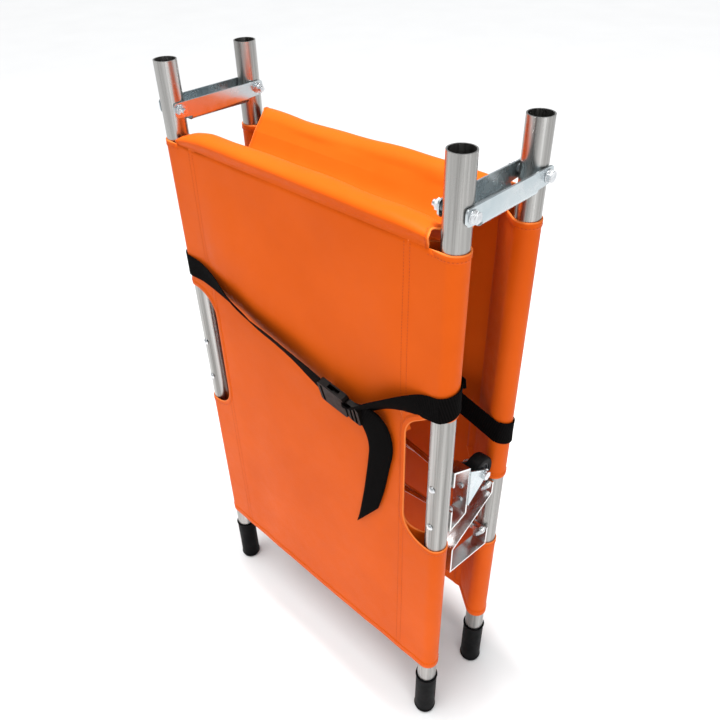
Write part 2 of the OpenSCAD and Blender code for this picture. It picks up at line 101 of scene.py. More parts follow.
class Nodes:
    """A material's node tree, with short ways to add to it."""

    def __init__(self, name, **values):
        self.mat = bpy.data.materials.new(name)
        self.mat.use_nodes = True
        self.tree = self.mat.node_tree
        self.shader = self.tree.nodes["Principled BSDF"]
        for socket, value in values.items():
            self.shader.inputs[socket.replace("_", " ")].default_value = value

    def add(self, kind, **inputs):
        node = self.tree.nodes.new("ShaderNode" + kind)
        for name, value in inputs.items():
            name = name.replace("_", " ")
            if isinstance(value, bpy.types.NodeSocket):
                self.tree.links.new(value, node.inputs[name])
            else:
                node.inputs[name].default_value = value
        return node

    def link(self, output, socket):
        self.tree.links.new(output, self.shader.inputs[socket])

    def place(self, scale=(1.0, 1.0, 1.0), source="Object"):
        coordinates = self.add("TexCoord").outputs[source]
        return self.add("Mapping", Vector=coordinates, Scale=scale).outputs["Vector"]

    def noise(self, vector, scale, detail=3.0, roughness=0.5):
        node = self.add("TexNoise", Vector=vector, Scale=scale, Detail=detail, Roughness=roughness)
        return node.outputs["Fac"]

    def wave(self, vector, scale, direction):
        node = self.add("TexWave", Vector=vector, Scale=scale)
        node.bands_direction = direction
        return node.outputs["Fac"]

    def ramp(self, value, *stops):
        """A colour ramp from stops of (position, colour or grey)."""
        node = self.add("ValToRGB", Fac=value)
        while len(node.color_ramp.elements) < len(stops):
            node.color_ramp.elements.new(0.5)
        for element, (position, colour) in zip(node.color_ramp.elements, stops):
            element.position = position
            element.color = (*colour, 1) if hasattr(colour, "__len__") else (colour, colour, colour, 1)
        return node.outputs["Color"]

    def mixed(self, a, share, b):
        """share of a and the rest of b."""
        return self.math("ADD", self.math("MULTIPLY", a, share), self.math("MULTIPLY", b, 1 - share))

    def math(self, operation, a, b):
        node = self.tree.nodes.new("ShaderNodeMath")
        node.operation = operation
        for socket, value in zip(node.inputs, (a, b)):
            if isinstance(value, bpy.types.NodeSocket):
                self.tree.links.new(value, socket)
            else:
                socket.default_value = value
        return node.outputs[0]

    def bump(self, *layers):
        """Layers of (height, distance in mm), the finest last."""
        normal = None
        for height, distance in layers:
            node = self.add("Bump", Height=height, Distance=distance * MM, Strength=1.0)
            if normal:
                self.tree.links.new(normal, node.inputs["Normal"])
            normal = node.outputs["Normal"]
        self.link(normal, "Normal")


def coated_cloth(name="orange_cloth", hem=False):
    """Orange coated polyester: a fine square weave under a satin skin, with a painted highlight along a hem's
    turned edge.
    """
    m = Nodes(name, Specular_IOR_Level=0.045)
    at = m.place()
    cloth = m.place(source="UV")
    fine = m.math("MAXIMUM", m.wave(cloth, 22, "X"), m.wave(cloth, 22, "Y"))
    soft = m.noise(at, 7, 4)
    colour = m.ramp(soft, (0.3, (0.66, 0.093, 0.0045)), (0.72, (0.745, 0.112, 0.0075)))
    if hem:
        # painted highlight: a hem's turned edge is painted paler, standing in for the light caught on the
        # fold
        across = m.add("SeparateXYZ", Vector=cloth).outputs["Y"]
        turned = m.ramp(m.math("MULTIPLY", across, 10), (0.04, 0.6), (0.12, 0.0))
        painted_edge_highlight = (0.90, 0.27, 0.07, 1)
        colour = m.add("MixRGB", Fac=turned, Color1=colour, Color2=painted_edge_highlight).outputs["Color"]
    m.link(colour, "Base Color")
    scuffs = m.noise(at, 46, 6, 0.65)
    m.link(m.ramp(scuffs, (0.3, 0.36), (0.75, 0.50)), "Roughness")
    m.bump((m.noise(at, 18, 3), 0.9), (fine, 0.05))
    return m.mat


def thread():
    """Sewing thread, a little darker than the cloth."""
    m = Nodes("orange_thread", Roughness=0.7, Specular_IOR_Level=0.2)
    shade = m.noise(m.place(), 900)
    m.link(m.ramp(shade, (0.3, (0.46, 0.055, 0.006)), (0.7, (0.62, 0.09, 0.012))), "Base Color")
    return m.mat


def drawn_tube():
    """Satin drawn aluminium, with fine streaks along the tube."""
    m = Nodes("aluminium_tube", Metallic=1.0)
    along = m.place((1, 1, 0.012))
    streaks = m.noise(along, 420, 4, 0.6)
    bands = m.noise(along, 95, 2, 0.5)
    cloudy = m.noise(m.place(), 16, 4)
    greys = (0.34, (0.21, 0.205, 0.195)), (0.5, (0.37, 0.363, 0.350)), (0.66, (0.54, 0.535, 0.52))
    m.link(m.ramp(m.mixed(bands, 0.7, streaks), *greys), "Base Color")
    m.link(m.ramp(m.mixed(streaks, 0.5, cloudy), (0.3, 0.22), (0.75, 0.38)), "Roughness")
    m.bump((streaks, 0.035))
    return m.mat


def flat_bar():
    """Bent aluminium strip: rolled faces with light scratches."""
    m = Nodes("aluminium_strip", Metallic=1.0)
    scratches = m.noise(m.place((1, 0.2, 0.05)), 500, 3, 0.7)
    cloudy = m.noise(m.place(), 30, 5)
    m.link(m.ramp(cloudy, (0.3, (0.66, 0.66, 0.66)), (0.7, (0.80, 0.80, 0.79))), "Base Color")
    m.link(m.ramp(m.mixed(scratches, 0.5, cloudy), (0.3, 0.14), (0.75, 0.34)), "Roughness")
    m.bump((scratches, 0.02))
    return m.mat


def bright_rod():
    """Polished rod, with faint rings from drawing."""
    m = Nodes("polished_rod", Metallic=1.0)
    rings = m.noise(m.place((1, 0.05, 0.05)), 800, 3)
    m.link(m.ramp(rings, (0.3, (0.74, 0.74, 0.74)), (0.7, (0.86, 0.86, 0.85))), "Base Color")
    m.link(m.ramp(m.noise(m.place(), 60, 4), (0.3, 0.10), (0.75, 0.24)), "Roughness")
    m.bump((rings, 0.01))
    return m.mat


def zinc_plate():
    """Galvanised steel with its cool, cloudy bloom."""
    m = Nodes("zinc_plate", Metallic=0.95, Specular_IOR_Level=0.5)
    at = m.place()
    bloom = m.noise(at, 75, 5, 0.55)
    large = m.noise(at, 24, 3)
    both = m.mixed(bloom, 0.4, large)
    m.link(m.ramp(both, (0.34, (0.45, 0.52, 0.55)), (0.66, (0.60, 0.64, 0.655))), "Base Color")
    m.link(m.ramp(both, (0.3, 0.20), (0.7, 0.32)), "Roughness")
    m.bump((bloom, 0.02))
    return m.mat


def zinc_fastener():
    """Bright plated bolts, nuts and washers."""
    m = Nodes("zinc_fastener", Metallic=1.0)
    at = m.place()
    m.link(m.ramp(m.noise(at, 130, 4), (0.3, (0.52, 0.54, 0.56)), (0.7, (0.78, 0.79, 0.80))), "Base Color")
    m.link(m.ramp(m.noise(at, 260, 4), (0.3, 0.24), (0.75, 0.38)), "Roughness")
    m.bump((m.noise(at, 500, 2), 0.004))
    return m.mat


def moulded(name, dark, light, rough, grain, depth):
    """Moulded rubber or plastic: pale scuffs, a skin of this depth in mm and a finer grain."""
    m = Nodes(name, Specular_IOR_Level=0.035)
    at = m.place()
    scuffs = m.noise(at, 38, 7, 0.7)
    m.link(m.ramp(scuffs, (0.45, dark), (0.72, light)), "Base Color")
    m.link(m.ramp(m.noise(at, 90, 5), (0.3, rough[0]), (0.75, rough[1])), "Roughness")
    m.bump((m.noise(at, 420, 2), depth), (m.noise(at, 1260, 2), grain))
    return m.mat


def woven_webbing():
    """Black narrow webbing: rows of ribs across, a herringbone along, and fuzz."""
    m = Nodes("black_webbing", Roughness=0.8, Specular_IOR_Level=0.015)
    along = m.place(source="UV")
    ribs = m.wave(along, 9, "X")
    slanted = m.add("Mapping", Vector=along, Rotation=(0, 0, math.radians(35))).outputs["Vector"]
    weave = m.mixed(ribs, 0.45, m.wave(slanted, 26, "Y"))
    fuzz = m.noise(m.place(), 260, 4)
    shade = m.mixed(weave, 0.7, fuzz)
    m.link(m.ramp(shade, (0.3, (0.0015, 0.0013, 0.0013)), (0.8, (0.007, 0.006, 0.006))), "Base Color")
    m.bump((fuzz, 0.12), (weave, 0.22))
    return m.mat


def floor_paint():
    """Matt white studio floor."""
    m = Nodes("pale_floor", Roughness=0.85, Specular_IOR_Level=0.1)
    m.link(m.ramp(m.noise(m.place(), 3, 4), (0.3, 0.76), (0.7, 0.78)), "Base Color")
    return m.mat


BLACK_RUBBER = dict(dark=(0.003, 0.003, 0.0033), light=(0.009, 0.009, 0.0095), rough=(0.36, 0.52))
TYRE_RUBBER = dict(dark=(0.004, 0.004, 0.0042), light=(0.015, 0.014, 0.014), rough=(0.38, 0.56))
HUB_PLASTIC = dict(dark=(0.030, 0.031, 0.034), light=(0.075, 0.075, 0.078), rough=(0.30, 0.48))
BUCKLE_PLASTIC = dict(dark=(0.004, 0.003, 0.0026), light=(0.012, 0.009, 0.008), rough=(0.30, 0.46))
FINISH = {
    "aluminium_tube": drawn_tube(),
    "aluminium_strip": flat_bar(),
    "polished_rod": bright_rod(),
    "orange_cloth": coated_cloth(),
    # orange_hem is the cloth with a painted highlight along its turned edge
    "orange_hem": coated_cloth("orange_hem", hem=True),
    "zinc_plate": zinc_plate(),
    "zinc_fastener": zinc_fastener(),
    "black_webbing": woven_webbing(),
    "black_rubber": moulded("black_rubber", **BLACK_RUBBER, grain=0.04, depth=0.10),
    "wheel_rubber": moulded("wheel_rubber", **TYRE_RUBBER, grain=0.04, depth=0.12),
    "wheel_hub": moulded("wheel_hub", **HUB_PLASTIC, grain=0.02, depth=0.05),
    "buckle_plastic": moulded("buckle_plastic", **BUCKLE_PLASTIC, grain=0.02, depth=0.04),
}
THREAD = thread()

# ---------------------------------------------------------------- mesh helpers


def mesh_object(name, points, faces, material, slot=None, uv=None, crease=35):
    """A mesh from points in millimetres. uv is one pair for each point, also in millimetres."""
    mesh = bpy.data.meshes.new(name)
    rings = [tuple(int(i) for i in face) for face in faces]
    mesh.from_pydata((np.asarray(points, float) * MM).tolist(), [], rings)
    if uv is not None:
        corner = np.empty(len(mesh.loops), np.int32)
        mesh.loops.foreach_get("vertex_index", corner)
        layer = mesh.uv_layers.new(name="cloth")
        layer.data.foreach_set("uv", (np.asarray(uv, float)[corner] / 100).ravel())
    mesh.shade_smooth()
    mesh.set_sharp_from_angle(angle=math.radians(crease))
    mesh.materials.append(material)
    ob = bpy.data.objects.new(name, mesh)
    scene.collection.objects.link(ob)
    return ob if slot else ob


def grid_faces(rows, columns, closed=False):
    """Quads between neighbouring rows of points; closed joins each row's ends."""
    faces = []
    for i in range(rows - 1):
        for j in range(columns if closed else columns - 1):
            k = (j + 1) % columns
            faces.append((i * columns + j, i * columns + k, (i + 1) * columns + k, (i + 1) * columns + j))
    return faces


def tube_faces(rows, columns):
    """Rows of points joined as a closed tube with capped ends."""
    first, last = range(columns), range((rows - 1) * columns, rows * columns)
    return grid_faces(rows, columns, closed=True) + [tuple(first)[::-1], tuple(last)]


def smooth(t, low, high):
    """0 below low, 1 above high, and a smooth step between."""
    t = np.clip((np.asarray(t, float) - low) / (high - low), 0, 1)
    return t * t * (3 - 2 * t)


def spline(points, step):
    """A smooth curve through the points, sampled about every step."""
    p = np.asarray(points, float)
    p = np.vstack([2 * p[0] - p[1], p, 2 * p[-1] - p[-2]])
    out = []
    for a, b, c, d in zip(p, p[1:], p[2:], p[3:]):
        n = max(1, int(math.ceil(np.linalg.norm((c - b)[:3]) / step)))
        squared, cubed = 2 * a - 5 * b + 4 * c - d, 3 * b - a - 3 * c + d
        for t in np.arange(n) / n:
            out.append(0.5 * (2 * b + (c - a) * t + squared * t**2 + cubed * t**3))
    return np.array(out + [p[-2]])


def unit(v):
    """The vectors at length 1."""
    return v / np.maximum(np.linalg.norm(v, axis=-1, keepdims=True), 1e-9)


def distances(points):
    """How far along the polyline each of its points is."""
    return np.concatenate([[0], np.cumsum(np.linalg.norm(np.diff(points, axis=0), axis=1))])


# ---------------------------------------------------------------- cloth of one half


def pole_axis():
    """Across and outward place of the front right pole's axis, from the frame."""
    low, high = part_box("front_tube_right")
    return round((low.x + high.x) / 2 / MM, 1), -round((low.y + high.y) / 2 / MM, 1)


POLE_X, POLE_Y = pole_axis()
CLOTH_R = 16.95  # the cloth's middle surface round a pole
SHEET_Y = POLE_Y + CLOTH_R
SEAM_X = 200.0
ARC = math.pi + 2 * math.atan(CLOTH_R / (POLE_X - SEAM_X))
ARC_LEN = ARC * CLOTH_R
RUN = POLE_X - SEAM_X  # from the pole's inner side to the seam
LAP = 12.0  # past the seam, against the front layer
HALF = POLE_X + ARC_LEN + RUN + LAP  # half of the flat cloth, centre to cut edge
TOP_IN = 229.0  # the sleeves' top edge starts here, and the cloth between goes on over the fold
SEAM_ROWS = (194.5, 203.0)  # the two rows of stitches beside the seam
CUT_IN = 202.0  # a side cut-out reaches in from the pole to here
CUT_CORNER = 44.0
CUT_MIDDLE = POLE_X + ARC_LEN / 2  # the outermost line of a pole's sleeve
BELT_RISE = 11.0  # the right front cut-out's upper edge rises this far, under the belt


def layers(u):
    """Where the flat pattern's u comes to lie: [across, outwards of the pole axis], its normal and side."""
    side, u = np.sign(u) + (u == 0), np.abs(u)
    arc = np.clip((u - POLE_X) / CLOTH_R, 0, ARC)
    normal = np.stack([np.sin(arc), np.cos(arc)], -1)
    at = np.array([POLE_X, 0.0]) + CLOTH_R * normal
    at[:, 0] += np.minimum(u - POLE_X, 0)
    leave = np.array([math.sin(ARC), math.cos(ARC)])
    along = np.array([leave[1], -leave[0]])
    at += np.clip(u - POLE_X - ARC_LEN, 0, RUN)[:, None] * along
    lap = np.maximum(u - POLE_X - ARC_LEN - RUN, 0)
    at[:, 0] -= lap
    at[:, 1] -= 1.3 * smooth(lap, 0, 4)
    return at, normal, side


class Half:
    """The cloth of one half. A point of the flat pattern is (u across, v up), in millimetres."""

    def __init__(self, front):
        self.front = front
        self.name = "front" if front else "back"
        self.sign = -1 if front else 1
        self.top = 933.0 if front else 920.0
        self.hem = 150.0
        self.cut = (457.0, 695.0) if front else (352.0, 503.0)  # the cut-outs' lower and upper ends

    def billow(self, u, v):
        """How far the cloth stands outwards of the poles' front plane."""
        free = 1 - smooth(np.abs(u), 165, 238)
        quiet = free * (1 - smooth(v, self.top - 50, self.top - 8))
        shift = 0.0 if self.front else 40.0
        ripples = (
            0.9 * np.sin(u / 31 + 0.8 * np.sin(v / 140 + shift) + shift) * np.sin(v / 95 + 1.3 + shift)
            + 0.7 * np.sin(u / 17 - v / 210 + 2.1 + shift) * smooth(np.abs(u), 40, 190)
            + 1.6 * np.sin(v / 170 + 0.5 + shift) * np.cos(u / 150 + shift)
        )
        if not self.front:
            return quiet * (ripples - 1.5)
        # the belt draws the cloth in along its line, and the cloth above it bulges
        above = v - belt_line(u)
        pinch = np.exp(-(((u + 105) / 105) ** 2)) + 0.35 * np.exp(-(((u - 190) / 60) ** 2))
        bulge = 9 * smooth(above, -3, 60) * (1 - smooth(above, 75, 230)) * pinch
        crease = np.interp(u, [-250, -197, -150], [924, 931, 937])
        fold = -1.3 * np.exp(-(((v - crease) / 5) ** 2)) * smooth(-u, 150, 190) * (1 - smooth(-u, 225, 238))
        dip = -1.8 * np.exp(-((above / 14) ** 2)) * smooth(235 - np.abs(u), 0, 60)
        return fold + quiet * (ripples * (1 - 0.6 * np.exp(-((above / 40) ** 2))) + bulge + dip)

    def at(self, u, v, h=0.0):
        """Points in the frame for points of the flat pattern, h outwards of the cloth's middle."""
        u, v = np.atleast_1d(np.asarray(u, float)), np.atleast_1d(np.asarray(v, float))
        across, normal, side = layers(u)
        lift = h + np.where(np.abs(u) < POLE_X, self.billow(u, v), 0)
        flat = across + normal * lift[:, None]
        return np.stack([flat[:, 0] * side, self.sign * (POLE_Y + flat[:, 1]), v], -1)

    def cut_side(self, rise):
        """A side cut-out's edge over the outer layer, from the bottom up. Its end by the pole rises."""
        low, high = self.cut
        turn = np.linspace(0, math.pi / 2, 10)
        inward = CUT_IN + CUT_CORNER * (1 - np.cos(turn))
        upright = CUT_CORNER * 0.95 * (1 - np.sin(turn))
        low_part = [(CUT_MIDDLE, low), *zip(inward[::-1], low + upright[::-1])]
        high_part = [*zip(inward, high - upright), (CUT_MIDDLE, high)]
        return low_part + [(u, v + rise * smooth(u, 222, 252)) for u, v in high_part]

    def cut_outline(self, rise):
        """The cut-out's outline from the lower sleeve's cut edge to the upper one, over both layers."""
        middle = sum(self.cut) / 2
        front_layer = self.cut_side(rise)
        low = [p for p in front_layer if p[1] < middle]
        high = [p for p in front_layer if p[1] >= middle]
        inner_low, inner_high = (
            [(2 * CUT_MIDDLE - u, v) for u, v in reversed(part)] for part in (low[1:], high[:-1])
        )
        end_low, end_high = ((HALF, part[0][1]) for part in (inner_low, inner_high))
        return [end_low] + inner_low + low + high + inner_high + [end_high]


def belt_line(u):
    """Height of the front belt's lower edge across the cloth."""
    return np.interp(u, [-255, -222, -174, -125, -91, -46, -6, 25, 60, 128, 190, 223, 246],
                     [713, 715, 709, 698, 684, 673, 662, 650, 642, 645, 688, 697, 701])


def resample(points, step):
    """The same polyline with points about every step."""
    p = np.asarray(points, float)
    gaps = np.linalg.norm(np.diff(p, axis=0), axis=1)
    p = p[np.concatenate([[True], gaps > 1e-6])]
    along = distances(p)
    t = np.linspace(0, along[-1], max(2, int(round(along[-1] / step)) + 1))
    return np.stack([np.interp(t, along, p[:, k]) for k in range(2)], -1)


def sheet_outline(half):
    """The flat pattern's outline, anticlockwise, and its named edges."""
    left = resample(half.cut_outline(0.0), 4.0)[::-1] * [-1, 1]
    cut = resample(half.cut_outline(BELT_RISE if half.front else 0.0), 4.0)
    top = half.top

    def run(a, b, step):
        return resample([a, b], step)

    edges = {
        "hem": run((-HALF, half.hem), (HALF, half.hem), 5.0),
        "right_low": run((HALF, half.hem), tuple(cut[0]), 6.0),
        "right_cut": cut,
        "right_high": run(tuple(cut[-1]), (HALF, top), 6.0),
        "right_top": run((HALF, top), (TOP_IN, top), 3.0),
        "middle_top": run((TOP_IN, top), (-TOP_IN, top), 5.0),
        "left_top": run((-TOP_IN, top), (-HALF, top), 3.0),
        "left_high": run((-HALF, top), tuple(left[0]), 6.0),
        "left_cut": left,
        "left_low": run(tuple(left[-1]), (-HALF, half.hem), 6.0),
    }
    outline = np.vstack([e[:-1] for e in edges.values()])
    return outline, edges


def inside(points, polygon):
    """Which points lie inside a polygon."""
    x, y = points[:, 0], points[:, 1]
    result = np.zeros(len(points), bool)
    for (x0, y0), (x1, y1) in zip(polygon, np.roll(polygon, -1, axis=0)):
        if y0 != y1:
            crosses = (y0 > y) != (y1 > y)
            result ^= crosses & (x < (x1 - x0) * (y - y0) / (y1 - y0) + x0)
    return result


def sheet_mesh(half):
    """The half's cloth as one mesh, from its flat pattern."""
    outline, edges = sheet_outline(half)
    arc_u = POLE_X + np.linspace(-3, ARC_LEN + 3, 26)
    flat_u = np.arange(0, POLE_X - 6, 7.0)
    inner_u = np.arange(POLE_X + ARC_LEN + 8, HALF - 3, 7.0)
    right = np.concatenate([flat_u, arc_u, inner_u])
    us = np.concatenate([-right[:0:-1], right])
    vs = np.arange(half.hem + 6, half.top - 3, 7.0)
    u, v = (a.ravel() for a in np.meshgrid(us, vs))
    points = np.stack([u, v], -1)
    points = points[inside(points, outline)]
    near = np.min(np.linalg.norm(points[:, None, :] - outline[None], axis=2), axis=1)
    points = points[near > 2.2]
    flat = np.vstack([outline, points])
    ring = list(range(len(outline)))
    verts, _, faces, *_ = geometry.delaunay_2d_cdt([Vector(p) for p in flat], [], [ring], 1, 1e-4)
    flat = np.array([tuple(p) for p in verts])
    cloth = mesh_object(half.name + "_cloth", half.at(flat[:, 0], flat[:, 1]), faces,
                        FINISH["orange_cloth"], "orange_cloth", uv=flat, crease=60)
    thicken(cloth)
    return cloth, edges, flat_area(flat, faces)


def flat_area(flat, faces):
    """Area of the flat pattern's triangles."""
    a, b, c = (flat[[face[k] for face in faces]] for k in range(3))
    (bx, by), (cx, cy) = (b - a).T, (c - a).T
    return float(np.sum(0.5 * np.abs(bx * cy - cx * by)))


def thicken(ob, thickness=1.0, rim=True):
    """Gives a surface its thickness in mm, half to each side."""
    solid = ob.modifiers.new("thickness", "SOLIDIFY")
    solid.use_rim = rim
    solid.thickness = thickness * MM
    solid.offset = 0
    return ob


def edge_band(name, where, path, width, taper=(0, 0)):
    """A folded hem: cloth turned over the edge that path follows, width wide.

    where gives points for the path, an offset to its left and a height.
    taper is the distance over which the hem thins away at its start and at its end.
    """
    section = [(width, -0.55), (width * 0.5, -1.15), (0.6, -1.2), (-0.5, -0.75), (-0.8, 0), (-0.5, 0.75),
               (0.6, 1.25), (width * 0.5, 1.2), (width - 0.8, 1.15), (width, 0.55)]
    lengths = distances(path)
    thin = np.ones(len(path))
    for distance, reach in zip((lengths, lengths[-1] - lengths), taper):
        if reach:
            thin *= 0.3 + 0.7 * smooth(distance, 0, reach)
    rows = [where(path, off * thin[:, None], h * thin) for off, h in section]
    points = np.stack(rows, 1).reshape(-1, 3)
    faces = tube_faces(len(path), len(section))
    uv = np.stack([np.repeat(lengths, len(section)), np.tile([off for off, _ in section], len(path))], -1)
    return mesh_object(name, points, faces, FINISH["orange_hem"], "orange_cloth", uv=uv, crease=50)


STITCH_LONG, STITCH_WIDE, STITCH_HIGH, STITCH_PITCH = 2.9, 1.0, 0.65, 4.3
STITCH_POINTS = [(-0.5, 0, -0.1), (-0.32, -0.5, 0.1), (-0.32, 0, 0.75), (-0.32, 0.5, 0.1),
                 (0.32, -0.5, 0.1), (0.32, 0, 0.75), (0.32, 0.5, 0.1), (0.5, 0, -0.1)]
STITCH_FACES = [(0, 2, 1), (0, 3, 2), (1, 2, 5, 4), (2, 3, 6, 5), (4, 5, 7), (5, 6, 7), (1, 4, 6, 3),
                (0, 1, 3), (4, 7, 6)]


def stitch_mesh(name, lines):
    """Thread stitches. Each line is (points, normals) about every stitch pitch."""
    verts, faces = [], []
    for at, normal in lines:
        along = unit(np.gradient(at, axis=0))
        across = unit(np.cross(normal, along))
        for p, t, b, n in zip(at, along, across, normal):
            faces += [tuple(len(verts) + k for k in face) for face in STITCH_FACES]
            verts += [p + t * (x * STITCH_LONG) + b * (y * STITCH_WIDE) + n * (z * STITCH_HIGH)
                      for x, y, z in STITCH_POINTS]
    return mesh_object(name, verts, faces, THREAD, "orange_cloth", crease=70)


def flat_normals(path):
    """Unit normals of a path in its plane, to its left."""
    d = unit(np.gradient(path, axis=0))
    return np.stack([-d[:, 1], d[:, 0]], -1)


def on_half(half):
    """A where() for edge_band, with paths in the half's flat pattern."""

    def where(path, offset, h):
        p = path + flat_normals(path) * offset
        return half.at(p[:, 0], p[:, 1], h)

    return where


def stitch_line(half, path, offset, h):
    """Stitches' points and normals along a path in the flat pattern, offset to its left."""
    path = resample(path + flat_normals(path) * offset, STITCH_PITCH)
    at = half.at(path[:, 0], path[:, 1], h)
    normal = unit(half.at(path[:, 0], path[:, 1], h + 1) - at)
    return at, normal


HEM_WIDTHS = {"hem": 14.0, "right_top": 9.0, "left_top": 9.0, "right_cut": 9.0, "left_cut": 9.0}
HEM_TAPERS = {"right_top": (0, 16), "left_top": (16, 0)}


def seam_stitches(half):
    """Two rows beside each sleeve's seam, and one past its cut-out."""
    low, high = half.cut
    spans = [(x, a, b) for x in (-SEAM_ROWS[1], -SEAM_ROWS[0], *SEAM_ROWS)
             for a, b in ((half.hem + 16, low + 8), (high + 2, half.top - 4))]
    spans += [(side * SEAM_ROWS[0], low + 12, high - 2) for side in (-1, 1)]
    for x, a, b in spans:
        yield stitch_line(half, np.array([(x, a), (x, b)]), 0, 0.55)


def dress_half(front):
    """One half's cloth with its hems and stitches."""
    half = Half(front)
    cloth, edges, area = sheet_mesh(half)
    parts, lines = [], []
    for edge, width in HEM_WIDTHS.items():
        path = resample(edges[edge], 3.0)
        taper = HEM_TAPERS.get(edge, (0, 0))
        parts.append(edge_band(f"{half.name}_{edge}_hem", on_half(half), path, width, taper))
        lines.append(stitch_line(half, path, width - 2.2, 1.25))
    lines += seam_stitches(half)
    stitches = stitch_mesh(f"{half.name}_stitches", lines)
    for part in parts + [stitches]:
        part.parent = cloth
    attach(cloth, half.name + "_half")
    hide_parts(half.name + "_sheet")
    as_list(parts)


dress_half(front=True)
dress_half(front=False)

# ---------------------------------------------------------------- cloth over the fold

# From the front sheet's top over the front ridge, down into the slack and up over the back ridge: [Y, Z]
FOLD = [
    (-SHEET_Y, 933), (-84.8, 937), (-86.8, 941), (-89.4, 946), (-89.2, 951), (-84, 955.6), (-74, 957.6),
    (-62, 955.6), (-50, 946), (-39, 931), (-27, 914), (-14, 901), (0, 896), (13, 900), (24, 909), (35, 924),
    (44.5, 939), (50, 948.5), (56, 954), (64, 957), (73, 955.5), (80.5, 949.5), (84.5, 940), (85.4, 930),
    (SHEET_Y, 920),
]
# Half the cloth's width at a Y: it narrows past the sleeves and again in the slack
FOLD_WIDTH = [
    (-90, TOP_IN), (-84, 228), (-79, 225), (-75, 227), (-72, 231.5), (-68, 233.2), (-60, 234), (-50, 235),
    (-40, 230), (-22, 214), (0, 205), (40, 206), (52, 206), (60, 211), (66, 218), (76, 225), (85, TOP_IN),
]
# Share of each ridge's height at an X: both are lower towards the left
FRONT_RIDGE = [
    (-234, 0.2), (-218, 0.47), (-203, 0.65), (-172, 0.87), (-106, 1), (171, 1), (200, 0.94), (234, 0.74),
]
BACK_RIDGE = [(-228, 0.66), (-216, 0.72), (-135, 0.70), (0, 0.82), (121, 0.97), (228, 0.9)]
FRONT_FOOT, BACK_FOOT = 933, 925  # the ridges rise from here
JOIN_Z = 925.0  # height of the joins between the fold's three stretches of cloth


def fold_curve():
    """The fold's profile: its points, how far along each is, and its outward normals."""
    line = spline(FOLD, 2.5)
    tangent = unit(np.gradient(line, axis=0))
    return line, distances(line), np.stack([-tangent[:, 1], tangent[:, 0]], -1)


FOLD_LINE, FOLD_ALONG, FOLD_NORMAL = fold_curve()


def fold_half_width(s):
    """Half the cloth's width, s along from the front."""
    return np.interp(np.interp(s, FOLD_ALONG, FOLD_LINE[:, 0]), *zip(*FOLD_WIDTH))


def fold_at(x, s, h=0.0):
    """Points on the cloth over the fold: x across, s along from the front, h outwards."""
    x, s = np.atleast_1d(np.asarray(x, float)), np.atleast_1d(np.asarray(s, float))
    y, z = (np.interp(s, FOLD_ALONG, column) for column in FOLD_LINE.T)
    ny, nz = (np.interp(s, FOLD_ALONG, column) for column in FOLD_NORMAL.T)
    front, back = (np.interp(x, *zip(*ridge)) for ridge in (FRONT_RIDGE, BACK_RIDGE))
    in_front = np.maximum(z - FRONT_FOOT, 0) * (1 - front)
    behind = np.maximum(z - BACK_FOOT, 0) * (1 - back)
    z = z - np.where(y < 0, in_front, behind)
    y = np.where(y < -SHEET_Y, -SHEET_Y + (y + SHEET_Y) * front, y)
    deep = np.exp(-((y / 22) ** 2)) * (3 * np.sin(x / 83 + 1) + 1.6 * np.sin(x / 29))
    wave = (0.7 * np.sin(x / 37 + y / 11) + 0.5 * np.sin(x / 19 - y / 23 + 2)) * smooth(z, 934, 942)
    return np.stack([x, y + ny * (h + wave), z + deep + nz * (h + wave)], -1)


def fold_joins():
    """Where the cloth passes JOIN_Z, down from the front ridge and up to the back one."""
    y, z = FOLD_LINE.T
    down, up = (y > -62) & (y < 0), (y > 0) & (y < 62)
    return [np.interp(-JOIN_Z, -z[down], FOLD_ALONG[down]), np.interp(JOIN_Z, z[up], FOLD_ALONG[up])]


def fold_hem(name, side, s, taper):
    """The hem of one side edge of a stretch of fold cloth, and its line of stitches."""
    edge = np.stack([fold_half_width(s) * side, s], -1)

    def where(path, offset, h):
        return fold_at(path[:, 0] - side * np.ravel(offset), path[:, 1], h)

    hem = edge_band(name, where, edge, 5.0, taper)
    run = resample(edge - [side * 3.6, 0], STITCH_PITCH)
    at = fold_at(run[:, 0], run[:, 1], 1.2)
    return hem, (at, unit(fold_at(run[:, 0], run[:, 1], 2.2) - at))


def fold_strip(name, s0, s1):
    """The stretch of fold cloth from s0 to s1, with its side hems and their stitches."""
    s = np.linspace(s0, s1, max(4, int((s1 - s0) / 2.6)))
    across = np.linspace(-1, 1, 71)
    grid = np.array([(x * fold_half_width(t), t) for t in s for x in across])
    cloth = mesh_object(name, fold_at(grid[:, 0], grid[:, 1]), grid_faces(len(s), len(across)),
                        FINISH["orange_cloth"], "orange_cloth", uv=grid, crease=60)
    thicken(cloth, rim=False)
    taper = (10 if s0 == 0 else 0, 10 if s1 == FOLD_ALONG[-1] else 0)
    sides = [fold_hem(f"{name}_hem_{word}", side, s, taper) for word, side in (("left", -1), ("right", 1))]
    hems, lines = zip(*sides)
    flat = (float(np.mean(fold_half_width(s))) * 2 * MM, (s1 - s0) * MM)
    return cloth, [*hems, stitch_mesh(name + "_stitches", lines)], flat


def dress_fold():
    """Three stretches that meet edge to edge: the outer two cross a hinge each, the middle one moves with the
    fold links.
    """
    ends = [0.0, *fold_joins(), FOLD_ALONG[-1]]
    names = ("fold_cloth_front", "fold_cloth", "fold_cloth_back")
    strips = [fold_strip(name, a, b) for name, a, b in zip(names, ends, ends[1:])]
    for cloth, trim, flat in strips:
        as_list(trim)
    front, middle, back = ([cloth, *trim] for cloth, trim, _ in strips)
    for piece in front:
        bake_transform(piece)
    for piece in back:
        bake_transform(piece)
    for piece in middle:
        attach(piece, "fold_links")
        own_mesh(piece)
    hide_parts("fold_sheet")


dress_fold()

# ---------------------------------------------------------------- belts

WEB_W, WEB_T = 38.0, 1.5
WEB_R = 18.9  # the webbing's middle surface round a pole's sleeve
